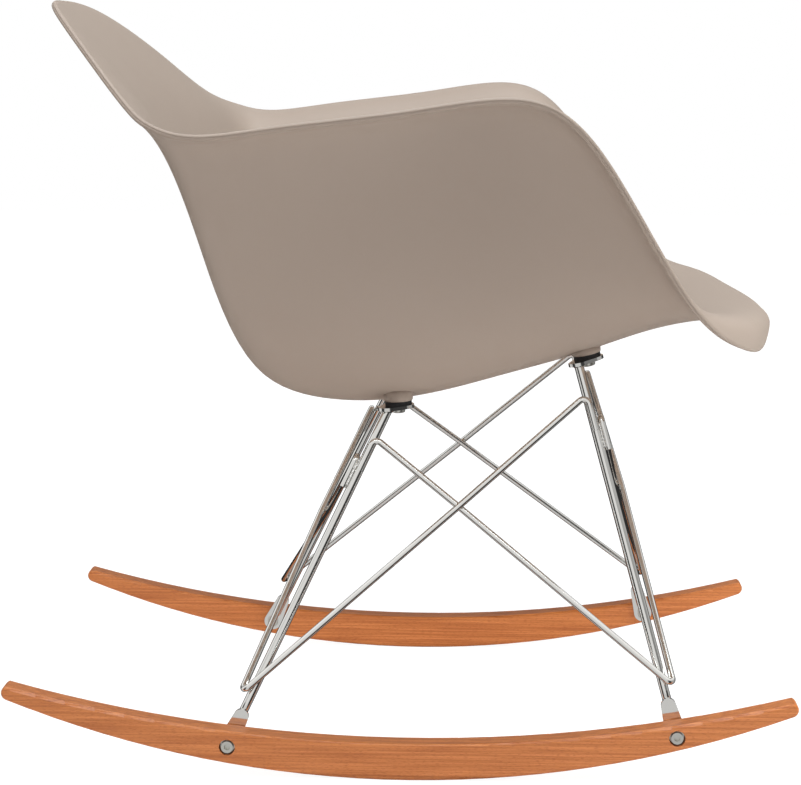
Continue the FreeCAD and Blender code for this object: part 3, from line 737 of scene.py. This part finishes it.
def weld_ripples(node, group, name):
    """Ripples along every bead of a CAD node, as one mesh."""
    curve = bpy.data.curves.new(name + "_lines", "CURVE")
    curve.dimensions = "3D"
    for first, last in bead_lines(node.data):
        line = curve.splines.new("POLY")
        line.points.add(1)
        line.points[0].co = (*first, 1.0)
        line.points[1].co = (*last, 1.0)
    source = scene_object(name + "_lines", curve)
    modifier = source.modifiers.new("weld_ripples", "NODES")
    modifier.node_group = group
    evaluated = source.evaluated_get(bpy.context.evaluated_depsgraph_get())
    mesh = bpy.data.meshes.new_from_object(evaluated)
    bpy.data.objects.remove(source)
    shade_smooth(mesh)
    return scene_object(name, mesh)


# Light, floor and camera

def set_world():
    """White to the camera, an even warm room to matt surfaces, and a striped studio to mirrors."""
    world = bpy.data.worlds.new("studio")
    bpy.context.scene.world = world
    world.use_nodes = True
    tree = world.node_tree
    link = tree.links.new
    seen = tree.nodes["Background"]
    seen.inputs["Color"].default_value = WHITE
    seen.inputs["Strength"].default_value = 1.0
    room = add(tree, "ShaderNodeBackground", Color=ROOM_TINT, Strength=ROOM_STRENGTH)
    direction = tree.nodes.new("ShaderNodeTexCoord").outputs["Generated"]
    axes = tree.nodes.new("ShaderNodeSeparateXYZ")
    link(direction, axes.inputs["Vector"])
    height = mapped(tree, axes.outputs["Z"], (-1.0, 1.0), (0.0, 1.0))
    ceiling = grey_ramp(tree, height, STUDIO_CEILING)
    studio = add(tree, "ShaderNodeBackground", Strength=1.0)
    link(blend(tree, "LIGHTEN", 1.0, studio_colour(tree, direction), ceiling), studio.inputs["Color"])
    shaders = [node.outputs["Background"] for node in (room, studio, seen)]
    link(by_ray(tree, *shaders), tree.nodes["World Output"].inputs["Surface"])


def area_light(name, place, target, size, watts, colour):
    """A soft rectangular lamp that points at its target."""
    data = bpy.data.lights.new(name, "AREA")
    data.shape = "RECTANGLE"
    data.size, data.size_y = size
    data.energy = watts
    data.color = colour
    obj = scene_object(name, data)
    obj.location = place
    obj.rotation_euler = (Vector(target) - Vector(place)).to_track_quat("-Z", "Y").to_euler()
    return obj


def set_lights():
    """All lamps; only the top one shows in mirrors."""
    for name, *values in LAMPS:
        lamp = area_light(name, *values)
        lamp.visible_glossy = name == LAMP_IN_MIRRORS
        lamp.visible_camera = name == LAMP_IN_MIRRORS


def set_floor():
    """A wide square of floor under the rockers."""
    corners = [(x * FLOOR_HALF, y * FLOOR_HALF, 0) for x, y in ((-1, -1), (1, -1), (1, 1), (-1, 1))]
    mesh = bpy.data.meshes.new("floor")
    mesh.from_pydata(corners, [], [(0, 1, 2, 3)])
    mesh.materials.append(floor_paint())
    obj = scene_object("floor", mesh)


def camera_axes():
    """The camera's right, up and forward directions."""
    down = CAMERA_PITCH_DOWN
    turn = -CAMERA_YAW_TO_BACK
    forward = Vector((math.sin(turn) * math.cos(down), math.cos(turn) * math.cos(down), -math.sin(down)))
    level = Vector((math.cos(turn), -math.sin(turn), 0.0))
    upright = level.cross(forward)
    right = level * math.cos(CAMERA_ROLL) + upright * math.sin(CAMERA_ROLL)
    up = upright * math.cos(CAMERA_ROLL) - level * math.sin(CAMERA_ROLL)
    return right, up, forward


def set_camera():
    """The photograph's camera."""
    right, up, forward = camera_axes()
    data = bpy.data.cameras.new("photo_camera")
    data.sensor_width = SENSOR_WIDTH
    data.lens = FOCAL_LENGTH_PIXELS / PHOTO_WIDTH * SENSOR_WIDTH
    camera = scene_object("photo_camera", data)
    rows = [(right[k], up[k], -forward[k], CAMERA_PLACE[k]) for k in range(3)]
    camera.matrix_world = Matrix((*rows, (0, 0, 0, 1)))
    bpy.context.scene.camera = camera


def soft_shading_group():
    """Smooth shading with hard edges kept where faces meet at a sharper angle than the limit."""
    group = bpy.data.node_groups.new("soft_shading", "GeometryNodeTree")
    group.interface.new_socket(name="Geometry", in_out="INPUT", socket_type="NodeSocketGeometry")
    group.interface.new_socket(name="Geometry", in_out="OUTPUT", socket_type="NodeSocketGeometry")
    start = group.nodes.new("NodeGroupInput")
    end = group.nodes.new("NodeGroupOutput")
    faces = group.nodes.new("GeometryNodeSetShadeSmooth")
    edges = add(group, "GeometryNodeSetShadeSmooth", domain="EDGE")
    angle = group.nodes.new("GeometryNodeInputMeshEdgeAngle")
    blunt = add(group, "FunctionNodeCompare", data_type="FLOAT", operation="LESS_THAN")
    blunt.inputs["B"].default_value = HARD_EDGE_ANGLE
    link = group.links.new
    link(start.outputs["Geometry"], faces.inputs["Geometry"])
    link(faces.outputs["Geometry"], edges.inputs["Geometry"])
    link(angle.outputs["Unsigned Angle"], blunt.inputs["A"])
    link(blunt.outputs["Result"], edges.inputs["Shade Smooth"])
    link(edges.outputs["Geometry"], end.inputs["Geometry"])
    return group


bpy.context.scene.view_settings.view_transform = "Standard"

FINISHES = {
    "shell_plastic": shell_plastic(),
    "beech": beech(),
    "chromed_steel": chromed_steel(),
    "black_rubber": black_rubber(),
    "insert_brass": insert_brass(),
    "fastener_steel": fastener_steel(),
}

slots = {entry["node"]: entry["material_slot"] for entry in frame["record"]["subparts"]}
soft_shading = soft_shading_group()
for node_name, node_object in frame["nodes"].items():
    node_object.data.materials.clear()
    node_object.data.materials.append(FINISHES[slots[node_name]])
    modifier = node_object.modifiers.new("soft_shading", "NODES")
    modifier.node_group = soft_shading

shell = seat_skin(FINISHES["shell_plastic"])
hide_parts("seat_shell")
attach(shell, "root")

bosses = seat_bosses(shell.data, FINISHES["shell_plastic"])
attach(bosses, "root")

drops = ripple_group(FINISHES["chromed_steel"])
ripples = weld_ripples(frame["nodes"]["weld_beads_tails"], drops, "weld_ripples")
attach(ripples, "root")

set_world()
set_floor()
set_lights()
set_camera()
